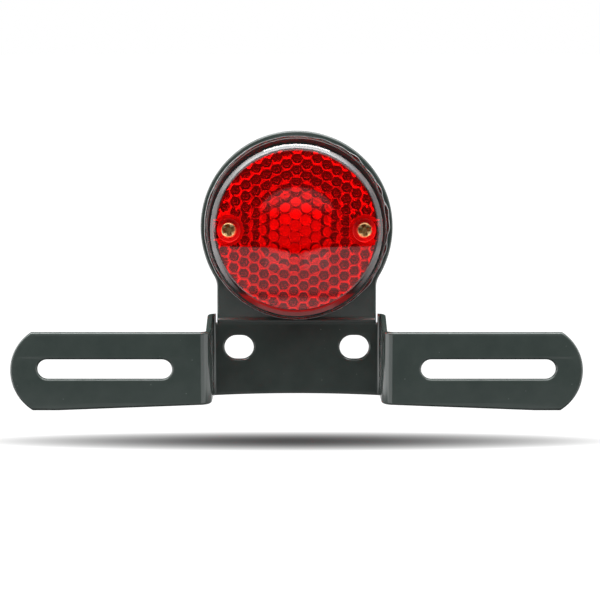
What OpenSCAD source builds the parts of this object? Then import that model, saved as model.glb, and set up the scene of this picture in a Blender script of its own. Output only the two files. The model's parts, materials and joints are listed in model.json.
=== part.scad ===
// Motorcycle tail light: a round red lamp on a pressed bracket that also carries the number plate.
// Millimetres, +Z up, the lamp faces -Y. The origin is midway between the two fender holes,
// on the back face of the centre plate.

/* [Bracket] */
// Overall width across the two plate wings
overall_w = 200; // [165:1:245]
// Thickness of the bracket's sheet
sheet = 2; // [1.5:0.1:2.6]
// Inside radius of the upright bends between plate and webs
bend_r = 1; // [0.8:0.1:1.6]
// Inside radius of the upright bends between webs and wings
wing_bend_r = 2.2; // [1:0.1:3]
// Flat sheet between a fender hole and the upright bend beside it
plate_margin = 2.9; // [1:0.1:5]
// Depth of the centre plate below the fender holes
plate_drop = 17.6; // [12:0.1:24]
// Rise of the shallow arch in the plate's bottom edge
plate_arch = 0.7; // [0.2:0.1:3]
// Distance that the wings stand in front of the centre plate
joggle = 15; // [11:0.5:22]
// Outward slant of the webs between plate and wings, in degrees
web_slant = 1; // [0:1:15]
// Height of the web's rear corner above the fold
web_rise = 2.2; // [0.5:0.1:4]
// Height of the wings above the fender holes
wing_top = 8.2; // [5:0.1:11]
// Depth of the wings below the fender holes, at the webs
wing_root_drop = 17.7; // [12:0.1:24]
// Depth of the wings below the fender holes, at the tips
wing_tip_drop = 19.6; // [14:0.1:26]
// Radius of the wing tips beyond half the wing's height
tip_fullness = 2.6; // [0.5:0.1:8]

/* [Fixing holes] */
// Distance between the fender holes
fender_spacing = 41; // [32:0.5:50]
// Width of a fender hole
fender_hole_w = 8.6; // [5:0.1:10.4]
// Extra length of a fender hole along the plate
fender_hole_stretch = 1.8; // [0.5:0.1:4]
// Width of a plate slot
slot_w = 7; // [5:0.1:9]
// Sheet between a slot and the upright bend beside it
slot_root_margin = 9.5; // [5:0.1:14]
// Sheet between a slot and the wing's tip
slot_tip_margin = 9.5; // [5:0.1:14]
// Depth of the slots below the fender holes
slot_drop = 4.9; // [2:0.1:9]

/* [Lamp plate] */
// Height of the fold above the fender holes
fold_h = 9.8; // [8:0.1:12]
// Angle that the lamp plate leans back, in degrees
lean = 5; // [1:0.5:15]
// Inside radius of the fold
fold_r = 2; // [1:0.1:4]
// Gap between the fold and the gasket's lowest edge
fold_gap = 0.1; // [0.1:0.1:8]
// Width of the disc's edge outside the gasket
disc_edge = 1.4; // [0.8:0.1:4]
// Step from the plate's flat to the neck's edge
neck_inset = 0.4; // [0.2:0.1:2]
// Radius where the neck runs into the disc
neck_fillet = 8; // [4:0.5:12]
// Width of the relief notches beside the neck
relief_w = 0.5; // [0.4:0.1:1.5]
// Depth of the relief notches below the fold
relief_drop = 1; // [0.5:0.1:2]

/* [Lens] */
// Diameter of the lens at its base
lens_base_d = 64; // [54:0.5:78]
// Radial taper of the lens wall from its base to its rim
lens_taper = 2.4; // [1:0.1:4]
// Height of the straight land at the lens base
lens_land = 1.4; // [0.8:0.1:3]
// Wall of the lens
lens_wall = 2.4; // [1.6:0.1:3]
// Radius of the lens's slightly domed front
dome_r = 190; // [120:5:400]
// Radial width of the rim bevel
bevel_w = 2.1; // [1:0.1:3]
// Height of the rim bevel
bevel_h = 1.6; // [1:0.1:3]
// Room between the bulb's globe and the lens
bulb_room = 3.3; // [1:0.1:12]
// Width of the gasket that shows outside the lens
gasket_out = 0.6; // [0.2:0.1:2]
// Width of the gasket inside the lens wall
gasket_in = 1.4; // [0.4:0.1:3]
// Thickness of the gasket
gasket_t = 2; // [1:0.1:3]

/* [Lens screws] */
// Thread diameter of the lens screws
screw_d = 3; // [2.5:0.1:3.6]
// Diameter of a screw head
head_d = 5.6; // [4.6:0.1:7]
// Height of a screw head
head_h = 2; // [1.6:0.1:2.6]
// Room round a screw head in its pocket
head_room = 1.2; // [0.8:0.1:2]
// Depth of the screw pockets below the lens's crown
pocket_depth = 6; // [4.8:0.1:8]
// Wall round the screw pockets
pocket_wall = 1.25; // [1:0.05:1.6]
// Gap between a post of the lens and the gasket
post_room = 0.9; // [0.3:0.1:3]
// Gap between a post's foot and the disc
post_gap = 0.3; // [0.2:0.1:1]
// Thickness of the sealing washers
washer_t = 0.6; // [0.4:0.1:1]
// Radial clearance of the screws in the lens and the disc
screw_clearance = 0.2; // [0.1:0.05:0.4]
// Width of a nut across its flats
nut_af = 5.5; // [4.6:0.1:7]
// Height of a nut
nut_h = 2.4; // [1.8:0.1:3]
// Length of the screw that shows behind its nut
screw_tail = 1; // [0.4:0.1:3]

/* [Socket] */
// Radial gap between the bulb's cap and the socket tube
cap_gap = 0.25; // [0.15:0.05:0.4]
// Wall of the socket tube
socket_wall = 0.8; // [0.6:0.1:1.2]
// Shank diameter of a rivet
rivet_d = 2.2; // [1.6:0.1:2.7]
// Head diameter of a rivet
rivet_head_d = 3.4; // [2.8:0.1:4.2]
// Height of a rivet head
rivet_head_h = 0.8; // [0.5:0.1:1.2]
// Gap between a rivet head and the socket tube
rivet_room = 0.15; // [0.1:0.05:1]
// Width of the socket's flange outside the rivet heads
flange_edge = 0.4; // [0.2:0.1:1.2]
// Thickness of the contact carrier
carrier_t = 2.4; // [1.6:0.1:3]
// Distance that the bulb can be pressed into the socket
press_travel = 2; // [1:0.1:2.4]
// Angle that the bulb turns to unlock, in degrees
unlock_angle = 20; // [12:1:30]
// Length of the contact spring at rest
spring_l = 5.6; // [4.6:0.1:8]
// Wire diameter of the contact spring
spring_wire = 0.7; // [0.4:0.05:0.85]
// Turns of the contact spring
spring_turns = 3; // [2:0.5:3.5]
// Wall of the cable boot
boot_wall = 1.6; // [1.2:0.1:3]
// Gap between the cable boot and the pin windows
boot_room = 0.6; // [0.2:0.1:2]
// Diameter of the cable entry
cable_d = 5.2; // [4:0.1:6.4]
// Wall of the nozzle round the cable entry
nozzle_wall = 2; // [1.2:0.1:3]
// Length of the nozzle round the cable entry
nozzle_l = 5; // [2:0.5:10]

/* [Bulb] */
// Diameter of the bulb's cap
cap_d = 15; // [12.5:0.1:18]
// Height of the cap
cap_h = 17.5; // [14.5:0.1:21]
// Diameter of the bulb's globe
globe_d = 18; // [15:0.5:22]
// Height where the neck of the glass runs into the globe
globe_shoulder = 3.5; // [2.9:0.1:5]
// Wall of the glass
glass_wall = 0.7; // [0.5:0.1:1]
// Diameter of a bayonet pin
pin_d = 2; // [1.6:0.1:2.4]
// Height of the lower pin above the cap's end
pin_h = 6.5; // [5.4:0.1:7.8]
// Step between the lower pin and the upper pin
pin_step = 3; // [2:0.1:3.6]
// Distance between the posts of the stop filament
stop_span = 6.4; // [5:0.1:7.7]
// Distance between the posts of the tail filament
tail_span = 5.4; // [4.4:0.1:6.5]

/* [Hidden] */
$fn = 72;

// Running clearance of shafts in their bores, and loose clearance between guided pieces
run_gap = 0.04;
slide_gap = 0.15;
// Hairline between the lamp plate and the pieces that seat on it
seat_gap = 0.01;
// Room that a cutting shape reaches past the faces it cuts
past = 1;

// Upright bends: centres of the inner bend A and the outer bend B in the plan view
fender_hole_l = fender_hole_w + fender_hole_stretch;
plate_w = fender_spacing + fender_hole_l + 2 * plate_margin;
bend_a = [plate_w / 2, sheet + bend_r];
bend_pair = bend_r + sheet + wing_bend_r;
bend_steps = 12;
web_l = (joggle - bend_pair + bend_pair * sin(web_slant)) / cos(web_slant);
bend_b = bend_a + [bend_pair * cos(web_slant) + web_l * sin(web_slant), joggle - wing_bend_r - bend_a[1]];
slot_in_x = bend_b[0] + slot_root_margin;
slot_out_x = overall_w / 2 - slot_tip_margin;
tip_r = (wing_top + wing_tip_drop) / 2 + tip_fullness;
tip_x = overall_w / 2 - tip_r;
tip_y = (wing_top - wing_tip_drop) / 2;
arch_r = (pow(plate_w / 2, 2) + pow(plate_arch, 2)) / (2 * plate_arch);
web_top = fold_h + web_rise;
strip_top = max(web_top, wing_top);
strip_h = strip_top + max(plate_drop, wing_root_drop, wing_tip_drop) + past;

// Lamp plate: the disc follows the gasket, the neck follows the centre plate
base_r = lens_base_d / 2;
gasket_r = base_r + gasket_out;
gasket_in_r = base_r - lens_wall - gasket_in;
disc_r = gasket_r + disc_edge;
lamp_rise = gasket_r + fold_gap;
neck_r = plate_w / 2 - neck_inset;
fillet_x = neck_r + neck_fillet;
fillet_y = -sqrt(max(0, pow(disc_r + neck_fillet, 2) - pow(fillet_x, 2)));
fold_lap = 2;
plate_back = -sheet - 2 * seat_gap;

// Bulb, along the lamp's axis from the disc's front face
cap_z = -cap_h;
cap_wall = 0.45;
pin_r = pin_d / 2;
pin_heights = [cap_z + pin_h, cap_z + pin_h + pin_step];
pin_angles = [90, 270];
pin_in = cap_d / 2 - 2 * cap_wall;
pin_room = 0.25;
neck_glass_r = cap_d / 2 - cap_wall - slide_gap;
glass_in_z = pin_heights[1] + pin_r + 2;
globe_r = globe_d / 2;
globe_h = globe_shoulder + sqrt(pow(globe_r, 2) - pow(neck_glass_r, 2));
insulator_out = 0.5;
contact_h = 0.6;
contact_r = 1.6;
contact_x = 3.2;
bulb_end_z = cap_z - insulator_out - contact_h;
stem_r = neck_glass_r - glass_wall - slide_gap;
stem_flare_h = 1;
column_r = 2.4;
pinch = [8, 4.4, 3];
pinch_z = 1;
post_z = pinch_z + pinch[2];
support_r = 0.3;
filament_r = 0.35;
weld_gap = 0.04;
stop_at = [-1.2, globe_h + 1];
tail_at = [1.4, globe_h - 0.8];

// Lens
lens_z = gasket_t;
rim_r = base_r - lens_taper;
crown_z = globe_h + globe_r + bulb_room + lens_wall;
function dome_z(r) = crown_z - dome_r + sqrt(pow(dome_r, 2) - r * r);
rim_z = dome_z(rim_r - bevel_w);
pocket_r = head_d / 2 + head_room;
pocket_z = crown_z - pocket_depth;
screw_reach = gasket_in_r - post_room - pocket_r;
head_z = pocket_z + washer_t;
hole_r = screw_d / 2 + screw_clearance;
nut_z = plate_back - nut_h;
screw_tip_z = nut_z - screw_tail;
recess_d = head_d - 2;
recess_w = 0.9;
recess_depth = 1.2;
head_crown = 0.45;

// Socket
tube_r = cap_d / 2 + cap_gap;
socket_r = tube_r + socket_wall;
rivet_reach = socket_r + rivet_room + rivet_head_d / 2;
flange_r = rivet_reach + rivet_head_d / 2 + flange_edge;
flange_t = socket_wall;
tip_h = 0.5;
tip_stem_r = 0.8;
carrier_z = bulb_end_z - tip_h - carrier_t;
carrier_r = tube_r - slide_gap;
end_plate_t = 1;
spring_z = carrier_z - spring_l;
spring_r = carrier_r - 2;
end_plate_z = spring_z - end_plate_t;
lip_z = end_plate_z - socket_wall;
pin_out = socket_r - slide_gap;
window_half = asin((pin_r + pin_room) / (cap_d / 2));
entry_w = pin_d + 2 * pin_room;
boot_z = pin_heights[0] - pin_r - press_travel - boot_room;
boot_bore_r = socket_r + run_gap;
boot_end_z = lip_z - 1.4;
boot_floor = 2.8;
nozzle_z = boot_end_z - boot_floor - nozzle_l;

// Frames. Front view: x right, y up, z towards the viewer.
module from_front() rotate([90, 0, 0]) children();

// Leaning frame: in the front view, origin on the fold's centre line, y up along the lamp plate.
module leaning() translate([0, fold_h, -fold_r]) rotate([-lean, 0, 0]) children();

// Lamp: origin on the lamp's axis at the disc's front face, z along the axis outwards.
module at_lamp() from_front() leaning() translate([0, lamp_rise, fold_r + sheet + seat_gap]) children();

module both_sides() {
    children();
    mirror([1, 0, 0]) children();
}

module tube(r_in, r_out, z0, z1)
    translate([0, 0, z0]) difference() {
        cylinder(r = r_out, h = z1 - z0);
        translate([0, 0, -past]) cylinder(r = r_in, h = z1 - z0 + 2 * past);
    }

module rod(r, z0, z1) translate([0, 0, z0]) cylinder(r = r, h = z1 - z0);

module oblong(l, w) {
    square([l - w, w], center = true);
    for (side = [-1, 1]) translate([side * (l - w) / 2, 0]) circle(d = w);
}

// Points on an arc of the sheet's plan view.
function arc(centre, r, a0, a1) =
    [for (i = [0:bend_steps]) let (a = a0 + (a1 - a0) * i / bend_steps) centre + r * [cos(a), sin(a)]];

// Plan view of the bent strip: along the front of the right half and back along its rear, then mirrored.
module strip_plan() {
    half = concat(
        arc(bend_a, bend_r, -90, -web_slant),
        arc(bend_b, wing_bend_r + sheet, 180 - web_slant, 90),
        [[overall_w / 2, joggle + sheet], [overall_w / 2, joggle]],
        arc(bend_b, wing_bend_r, 90, 180 - web_slant),
        arc(bend_a, bend_r + sheet, -web_slant, -90));
    polygon(concat(half, [for (i = [len(half) - 1:-1:0]) [-half[i][0], half[i][1]]]));
}

// Front view of the right half of the centre plate, web and wing.
module side_front() {
    notch = neck_r + relief_w;
    notch_y = fold_h - relief_drop;
    difference() {
        intersection() {
            polygon([[0, -plate_drop], [bend_a[0], -plate_drop], [bend_b[0], -wing_root_drop],
                     [tip_x, -wing_tip_drop], [overall_w, -wing_tip_drop], [overall_w, strip_top],
                     [notch, strip_top], [notch, notch_y], [neck_r, notch_y], [neck_r, fold_h],
                     [0, fold_h]]);
            union() {
                translate([0, -strip_h]) square([tip_x, 2 * strip_h]);
                translate([tip_x, tip_y]) circle(r = tip_r, $fn = 180);
            }
        }
        translate([0, plate_arch - plate_drop - arch_r]) circle(r = arch_r, $fn = 720);
        translate([(slot_in_x + slot_out_x) / 2, -slot_drop]) oblong(slot_out_x - slot_in_x, slot_w);
        translate([fender_spacing / 2, 0]) oblong(fender_hole_l, fender_hole_w);
    }
}

// Side view that slants the webs' top edge down from the plate to the wings.
module web_side() {
    front = joggle + sheet + past;
    polygon([[-past, -strip_h], [front, -strip_h], [front, wing_top], [joggle, wing_top],
             [sheet, web_top], [-past, web_top]]);
}

module strip() {
    intersection() {
        translate([0, strip_top, 0]) rotate([90, 0, 0]) linear_extrude(strip_h) strip_plan();
        translate([0, 0, -past]) linear_extrude(joggle + sheet + 2 * past) both_sides() side_front();
        rotate([0, -90, 0]) linear_extrude(overall_w + 2 * past, center = true) web_side();
    }
}

module lamp_plate_outline() {
    circle(r = disc_r, $fn = 180);
    translate([-neck_r, -lamp_rise - 2 * fold_lap]) square([2 * neck_r, lamp_rise + 2 * fold_lap]);
    both_sides() difference() {
        blend = disc_r / (disc_r + neck_fillet);
        polygon([[0, fillet_y], [fillet_x, fillet_y], blend * [fillet_x, fillet_y], [0, fillet_y * blend]]);
        translate([fillet_x, fillet_y]) circle(r = neck_fillet);
    }
}

// Side view of the lamp plate: a lap on the centre plate, the fold, and the leaning sheet.
module lamp_plate_side() {
    centre = [-fold_r, fold_h];
    front = arc(centre, fold_r + sheet, 0, lean);
    back = arc(centre, fold_r, lean, 0);
    up = (lamp_rise + disc_r + past) * [-sin(lean), cos(lean)];
    polygon(concat([[sheet, fold_h - fold_lap]], front, [front[bend_steps] + up, back[0] + up], back,
                   [[0, fold_h - fold_lap]]));
}

module lamp_plate() {
    intersection() {
        rotate([0, -90, 0]) linear_extrude(2 * (disc_r + past), center = true) lamp_plate_side();
        leaning() translate([0, lamp_rise, 0]) linear_extrude(2 * (fold_r + sheet)) lamp_plate_outline();
    }
}

module at_lens_screw(side) translate([side * screw_reach, 0, 0]) children();

module at_rivets() for (i = [0:2]) rotate(30 + 120 * i) translate([rivet_reach, 0, 0]) children();

module bracket() color([0.2, 0.22, 0.21]) difference() {
    from_front() {
        strip();
        lamp_plate();
    }
    at_lamp() {
        rod(socket_r + slide_gap, plate_back - past, past);
        for (side = [-1, 1]) at_lens_screw(side) rod(hole_r, plate_back - past, past);
        at_rivets() rod(rivet_d / 2 + run_gap, plate_back - past, past);
    }
}

// Half section of the lens body, set back by some distance from its outer skin.
module lens_section(back) intersection() {
    slope = bevel_h / bevel_w;
    polygon([[0, lens_z - (back > 0 ? past : 0)], [base_r - back, lens_z - (back > 0 ? past : 0)],
             [base_r - back, lens_z + lens_land], [rim_r - back, rim_z - bevel_h - back / 2],
             [rim_r - 2 * bevel_w - back, rim_z + slope * bevel_w - back / 2],
             [rim_r - 2 * bevel_w - back, crown_z + past], [0, crown_z + past]]);
    translate([0, crown_z - dome_r]) circle(r = dome_r - back, $fn = 720);
}

module lens_body() rotate_extrude($fn = 180) lens_section(0);

module lens() color([0.75, 0.02, 0.02]) at_lamp() difference() {
    union() {
        difference() {
            lens_body();
            rotate_extrude($fn = 180) lens_section(lens_wall);
        }
        intersection() {
            lens_body();
            for (side = [-1, 1]) at_lens_screw(side)
                rod(pocket_r + pocket_wall, pocket_z - pocket_wall, crown_z + past);
        }
        for (side = [-1, 1]) at_lens_screw(side) rod(pocket_r, post_gap, pocket_z);
    }
    for (side = [-1, 1]) at_lens_screw(side) {
        rod(pocket_r, pocket_z, crown_z + past);
        rod(hole_r, -past, crown_z);
    }
}

module lens_gasket() color([0.07, 0.07, 0.07]) at_lamp()
    tube(gasket_in_r, gasket_r, 0, gasket_t);

module lens_screw(side) color([0.82, 0.62, 0.28]) at_lamp() at_lens_screw(side) difference() {
    cap_r = (pow(head_d / 2, 2) + pow(head_crown, 2)) / (2 * head_crown);
    union() {
        intersection() {
            rod(head_d / 2, head_z, head_z + head_h);
            translate([0, 0, head_z + head_h - cap_r]) sphere(r = cap_r, $fn = 180);
        }
        rod(screw_d / 2 - run_gap, screw_tip_z, head_z + past / 2);
    }
    for (turn = [0, 90]) rotate(turn)
        translate([-recess_d / 2, -recess_w / 2, head_z + head_h - recess_depth])
            cube([recess_d, recess_w, recess_depth + past]);
}

module lens_screw_left() lens_screw(-1);

module lens_screw_right() lens_screw(1);

module screw_washer(side) color([0.25, 0.2, 0.16]) at_lamp() at_lens_screw(side)
    tube(screw_d / 2 + run_gap, head_d / 2 - run_gap, pocket_z, head_z);

module screw_washer_left() screw_washer(-1);

module screw_washer_right() screw_washer(1);

module lens_nuts() color([0.6, 0.6, 0.58]) at_lamp()
    for (side = [-1, 1]) at_lens_screw(side) difference() {
        translate([0, 0, nut_z]) cylinder(d = nut_af / cos(30), h = nut_h, $fn = 6);
        rod(screw_d / 2, nut_z - past, past);
    }

// Window in the socket tube that lets one pin be pressed in and turned, and its way in from the front.
module pin_window(angle, height) {
    low = height - pin_r - press_travel - slide_gap;
    high = height + pin_r + slide_gap / 2;
    rotate(angle - window_half) translate([0, 0, low])
        rotate_extrude(angle = unlock_angle + 2 * window_half)
            translate([cap_d / 2, 0]) square([socket_wall + past, high - low]);
    rotate(angle + unlock_angle) translate([0, -entry_w / 2, height])
        cube([socket_r + slide_gap, entry_w, flange_t + past - height]);
}

module socket_shell() color([0.78, 0.78, 0.76]) at_lamp() difference() {
    union() {
        tube(tube_r, socket_r, lip_z, flange_t);
        tube(socket_r - socket_wall / 2, flange_r, 0, flange_t);
        tube(tube_r - socket_wall, socket_r - socket_wall / 2, lip_z, end_plate_z);
    }
    for (i = [0, 1]) pin_window(pin_angles[i], pin_heights[i]);
    at_rivets() rod(rivet_d / 2 + run_gap, -past, flange_t + past);
}

module socket_rivets() color([0.7, 0.7, 0.68]) at_lamp() at_rivets() {
    rod(rivet_d / 2, plate_back - rivet_head_h / 2, flange_t + rivet_head_h / 2);
    rod(rivet_head_d / 2, flange_t, flange_t + rivet_head_h);
    rod(rivet_head_d / 2, plate_back - rivet_head_h, plate_back);
}

module at_contacts() for (side = [-1, 1]) translate([side * contact_x, 0, 0]) children();

module contact_carrier() color([0.45, 0.27, 0.14]) at_lamp() difference() {
    rod(carrier_r, carrier_z, carrier_z + carrier_t);
    at_contacts() rod(tip_stem_r + run_gap, carrier_z - past, carrier_z + carrier_t + past);
}

module contact_tips() color([0.8, 0.62, 0.3]) at_lamp() at_contacts() {
    rod(contact_r, carrier_z + carrier_t, carrier_z + carrier_t + tip_h);
    rod(tip_stem_r, carrier_z, carrier_z + carrier_t + tip_h / 2);
}

// Coil swept as one tube: rings of a hexagon along the helix, closed at both ends.
module contact_spring() color([0.75, 0.75, 0.73]) at_lamp() {
    rings = round(16 * spring_turns);
    sides = 6;
    wire_r = spring_wire / 2;
    low = spring_z + wire_r + run_gap;
    high = carrier_z - wire_r - run_gap;
    points = [for (i = [0:rings], k = [0:sides - 1])
        let (a = 360 * spring_turns * i / rings, b = 360 * k / sides, r = spring_r + wire_r * cos(b))
        [r * cos(a), r * sin(a), low + (high - low) * i / rings + wire_r * sin(b)]];
    walls = [for (i = [0:rings - 1], k = [0:sides - 1])
        let (n = (k + 1) % sides, p = i * sides, q = p + sides)
        each [[p + k, q + k, q + n], [p + k, q + n, p + n]]];
    ends = [for (k = [1:sides - 2]) each
        [[0, k, k + 1], [rings * sides, rings * sides + k + 1, rings * sides + k]]];
    turn_gap = (high - low) / spring_turns - spring_wire;
    echo(spring_gap_between_turns = turn_gap);
    polyhedron(points, concat(walls, ends));
}

module socket_end_plate() color([0.45, 0.27, 0.14]) at_lamp() difference() {
    rod(carrier_r, end_plate_z, spring_z);
    at_contacts() rod(contact_r, end_plate_z - past, spring_z + past);
}

module cable_boot() color([0.09, 0.09, 0.09]) at_lamp() difference() {
    union() {
        rod(boot_bore_r + boot_wall, boot_end_z - boot_floor, boot_z);
        rod(cable_d / 2 + nozzle_wall, nozzle_z, boot_z - past);
    }
    rod(boot_bore_r, boot_end_z, boot_z + past);
    rod(cable_d / 2, nozzle_z - past, boot_end_z + past);
}

module at_pin(i) translate([0, 0, pin_heights[i]]) rotate([0, 90, pin_angles[i]]) children();

module bulb_cap() color([0.76, 0.74, 0.68]) at_lamp() difference() {
    tube(cap_d / 2 - cap_wall, cap_d / 2, cap_z, 0);
    for (i = [0, 1]) at_pin(i) rod(pin_r + run_gap, 0, cap_d);
}

module bulb_pins() color([0.76, 0.66, 0.4]) at_lamp() for (i = [0, 1]) at_pin(i) rod(pin_r, pin_in, pin_out);

module bulb_insulator() color([0.05, 0.05, 0.06]) at_lamp()
    rod(cap_d / 2 - cap_wall - run_gap, cap_z - insulator_out, cap_z + 1);

module bulb_contacts() color([0.7, 0.7, 0.7]) at_lamp() at_contacts()
    rod(contact_r, bulb_end_z, bulb_end_z + contact_h);

module glass_section(back) intersection() {
    union() {
        translate([0, globe_h]) circle(r = globe_r - back, $fn = 180);
        translate([0, glass_in_z - (back > 0 ? past : 0)])
            square([neck_glass_r - back, globe_h - glass_in_z]);
    }
    translate([0, glass_in_z - past]) square([globe_d, 2 * globe_d]);
}

module bulb_glass() color([0.85, 0.9, 0.92, 0.4]) at_lamp() rotate_extrude($fn = 120) difference() {
    glass_section(0);
    glass_section(glass_wall);
}

module bulb_stem() color([0.8, 0.86, 0.88, 0.5]) at_lamp() {
    rod(stem_r, glass_in_z, glass_in_z + stem_flare_h);
    rod(column_r, glass_in_z, pinch_z + past);
    translate([-pinch[0] / 2, -pinch[1] / 2, pinch_z]) cube(pinch);
}

module filament_posts(span, at) for (side = [-1, 1])
    translate([side * span / 2, at[0], 0]) rod(support_r, post_z, at[1] + filament_r);

module filament_supports() color([0.6, 0.6, 0.6]) at_lamp() {
    filament_posts(stop_span, stop_at);
    filament_posts(tail_span, tail_at);
}

module filament(span, at) color([0.55, 0.55, 0.58]) at_lamp()
    translate([0, at[0], at[1]]) rotate([0, 90, 0])
        cylinder(r = filament_r, h = span - 2 * (support_r + weld_gap), center = true);

module filament_stop() filament(stop_span, stop_at);

module filament_tail() filament(tail_span, tail_at);

bracket();
lens();
lens_gasket();
lens_screw_left();
lens_screw_right();
screw_washer_left();
screw_washer_right();
lens_nuts();
socket_shell();
socket_rivets();
contact_carrier();
contact_tips();
contact_spring();
socket_end_plate();
cable_boot();
bulb_cap();
bulb_pins();
bulb_insulator();
bulb_contacts();
bulb_glass();
bulb_stem();
filament_supports();
filament_stop();
filament_tail();
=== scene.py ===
"""Looks of the motorcycle tail light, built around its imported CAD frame."""

import json
import math

import bmesh
import bpy
from mathutils import Matrix, Vector, kdtree
from mathutils.geometry import delaunay_2d_cdt


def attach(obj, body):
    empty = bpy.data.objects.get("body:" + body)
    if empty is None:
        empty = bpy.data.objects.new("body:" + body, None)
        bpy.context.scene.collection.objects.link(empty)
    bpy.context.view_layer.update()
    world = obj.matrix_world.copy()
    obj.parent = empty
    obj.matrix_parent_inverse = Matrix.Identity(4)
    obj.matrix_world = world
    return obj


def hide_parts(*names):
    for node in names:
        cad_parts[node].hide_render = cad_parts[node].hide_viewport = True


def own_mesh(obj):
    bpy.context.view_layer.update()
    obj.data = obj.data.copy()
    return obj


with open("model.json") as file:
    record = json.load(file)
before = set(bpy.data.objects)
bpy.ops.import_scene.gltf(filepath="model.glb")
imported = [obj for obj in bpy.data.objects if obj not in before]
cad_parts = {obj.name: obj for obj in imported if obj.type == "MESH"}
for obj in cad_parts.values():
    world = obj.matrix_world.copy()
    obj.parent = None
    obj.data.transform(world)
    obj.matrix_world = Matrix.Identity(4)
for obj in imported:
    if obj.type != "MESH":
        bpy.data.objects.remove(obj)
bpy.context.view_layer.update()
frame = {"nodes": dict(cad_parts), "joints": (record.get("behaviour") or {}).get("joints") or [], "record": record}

MM = 0.001
SIDES = (-1, 1)
joints = {joint["name"]: joint for joint in frame["joints"]}

# Lamp frame: origin on the lamp's axis at the disc's front face, z outwards along the axis
lamp_z = Vector(joints["lens_pull"]["axis"]).normalized()
lamp_x = Vector((1, 0, 0))
lamp_y = lamp_z.cross(lamp_x)
lamp_at = Vector(joints["bulb_turn"]["pos_m"])
LAMP = Matrix.Translation(lamp_at) @ Matrix((lamp_x, lamp_y, lamp_z)).transposed().to_4x4()
TO_LAMP = LAMP.inverted()
LEAN = math.asin(lamp_z.z)

# Bracket sizes, in millimetres
SHEET = 2.0
BEND_R, WING_BEND_R = 1.0, 2.2
PLATE_HALF = 28.6
PLATE_DROP = 17.6
PLATE_ARCH = 0.7
JOGGLE = 15.0
WEB_SLANT = math.radians(1)
WEB_TOP = 12.0
WING_TOP = 8.2
WING_ROOT_DROP = 17.7
WING_TIP_DROP = 19.599
HALF_W = 100.0
TIP_R = 16.5
HOLE_X, HOLE_L, HOLE_W = 20.5, 10.4, 8.6
SLOT_DROP, SLOT_W = 4.9, 7.0
SLOT_ROOT, SLOT_TIP = 9.5, 9.5
FOLD_H, FOLD_R = 9.8, 2.0
LAMP_RISE = 32.7
DISC_R = 34.0
SOCKET_HOLE_R = 8.7
NECK_R = 28.2
NECK_FILLET = 8.0
RELIEF_W, RELIEF_DROP = 0.5, 1.0
EDGE_ROLL = 0.7
CREASE_H, CREASE_W = 0.46, 0.52

# Lens and screw sizes along the lamp's axis, in millimetres. A profile meets its axis at the radius ON_AXIS.
ON_AXIS = 0.001
GASKET_R, GASKET_IN_R, GASKET_T = 32.6, 28.2, 2.0
BASE_R, RIM_R, LENS_WALL, LENS_LAND = 32.0, 29.6, 2.4, 1.4
OPTICS_R = RIM_R - LENS_WALL
DOME_R = 190.0
GLOBE_R, NECK_GLASS_R, GLOBE_SHOULDER, GLOBE_CLEAR = 9.0, 6.9, 3.5, 3.3
GLOBE_H = GLOBE_SHOULDER + math.sqrt(GLOBE_R ** 2 - NECK_GLASS_R ** 2)
CROWN_Z = GLOBE_H + GLOBE_R + GLOBE_CLEAR + LENS_WALL
POCKET_R, POCKET_DEPTH, POCKET_WALL = 4.0, 6.0, 1.25
POCKET_Z = CROWN_Z - POCKET_DEPTH
BOSS_R, BOSS_Z = POCKET_R + POCKET_WALL, POCKET_Z - POCKET_WALL
SCREW_REACH = joints["right_screw_turn"]["pos_m"][0] / MM
SCREW_R, HEAD_R, HEAD_H, WASHER_T = 1.46, 2.8, 2.0, 0.6
HEAD_Z = POCKET_Z + WASHER_T
HOLE_R, POST_GAP, POST_SUNK = 1.7, 0.3, 1.2
POCKET_FLARE, POCKET_FLARE_DROP, CUT_PAST = 0.25, 2.2, 1.0
PLATE_BACK = -2.02
NUT_H, NUT_AF, NUT_FACE, NUT_SLOPE, NUT_CHAMFER, THREAD_CLEAR = 2.4, 5.5, 0.95, 0.58, 0.3, 0.04
PAST_NUT, TIP_CHAMFER = 1.0, 0.35
SCREW_TIP_Z = PLATE_BACK - NUT_H - PAST_NUT

# Rim of the lens: a bevel of two facets that meet in a crest
BEVEL_W, BEVEL_H, CREST_IN, CREST_DOWN, BEVEL_ROUND = 2.1, 1.6, 1.45, 0.28, 0.25

# Inner wall of the lens: share of the taper and height over the land where its slope changes
KINK_SHARE, KINK_RISE = 0.75, 4.0

# Honeycomb of the lens: column spacing, pitch along a column, pillow radius, turn and phase of the pattern
CELL_X, CELL_Y, PILLOW_R = 3.41, 3.75, 3.0
CELL_TURN = math.radians(-1.5)
CELL_PHASE = (-0.45, 1.75)


# Mesh helpers
def new_object(name, data):
    obj = bpy.data.objects.new(name, data)
    bpy.context.scene.collection.objects.link(obj)
    return obj


def evaluated_mesh(obj):
    """A new mesh of what an object shows, with its modifiers or curve settings."""
    depsgraph = bpy.context.evaluated_depsgraph_get()
    return bpy.data.meshes.new_from_object(obj.evaluated_get(depsgraph))


def make_object(name, verts, faces, materials, sharp_deg=30):
    """A mesh object from points in millimetres in the lamp's frame."""
    mesh = bpy.data.meshes.new(name)
    mesh.from_pydata([Vector(v) * MM for v in verts], [], faces)
    mesh.transform(LAMP)
    return finish_mesh(name, mesh, materials, sharp_deg)


def finish_mesh(name, mesh, materials, sharp_deg):
    """An object of a mesh, with its normals outwards, smooth shading and edges sharp above an angle."""
    bm = bmesh.new()
    bm.from_mesh(mesh)
    bmesh.ops.recalc_face_normals(bm, faces=bm.faces)
    bm.to_mesh(mesh)
    bm.free()
    mesh.shade_smooth()
    mesh.set_sharp_from_angle(angle=math.radians(sharp_deg))
    for material in materials:
        mesh.materials.append(material)
    return new_object(name, mesh)


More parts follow.
